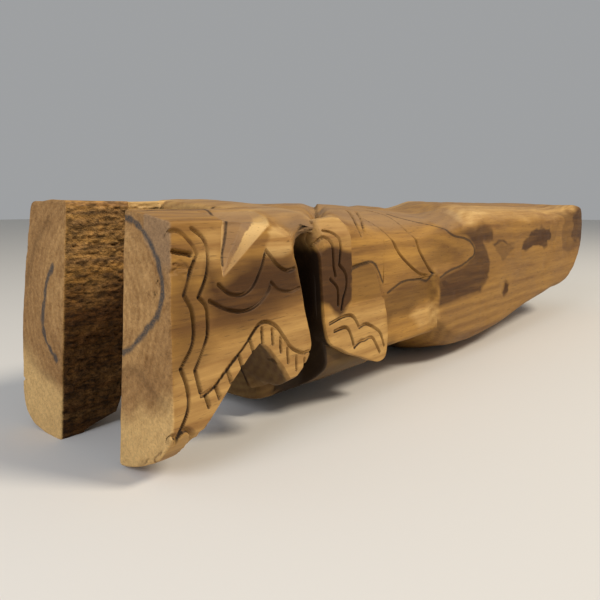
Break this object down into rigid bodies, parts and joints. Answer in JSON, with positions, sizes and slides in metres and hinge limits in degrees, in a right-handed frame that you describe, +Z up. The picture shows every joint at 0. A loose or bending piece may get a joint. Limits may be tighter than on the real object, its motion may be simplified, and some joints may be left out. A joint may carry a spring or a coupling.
{
  "type": "carved wooden headrest",
  "caption": "Low headrest carved from one split log, with a forked front on stub legs, incised lines and notches along the sides, and a long solid tail that rises at its tip.",
  "frame": {"origin": "middle of the object's box, on the surface that it lies on", "axes": "+X runs along the log from the sawn, forked end to the tail; +Y is the log's left side; +Z is up, and the carved panel that the picture shows faces -Y"},
  "size_m": [0.508, 0.108, 0.103],
  "materials": {
    "heartwood": "hand carved, dry, lightly rubbed",
    "sapwood": "hand carved, dry, lightly rubbed",
    "stained_wood": "hand carved, dry, darkened by handling"
  },
  "bodies": {
    "root": {"right_front_leg": "heartwood", "left_front_leg": "heartwood", "front_saddle": "stained_wood", "right_middle_leg": "sapwood", "left_middle_leg": "sapwood", "body_block": "heartwood", "belly_block": "sapwood", "tail_block": "sapwood"}
  },
  "joints": []
}
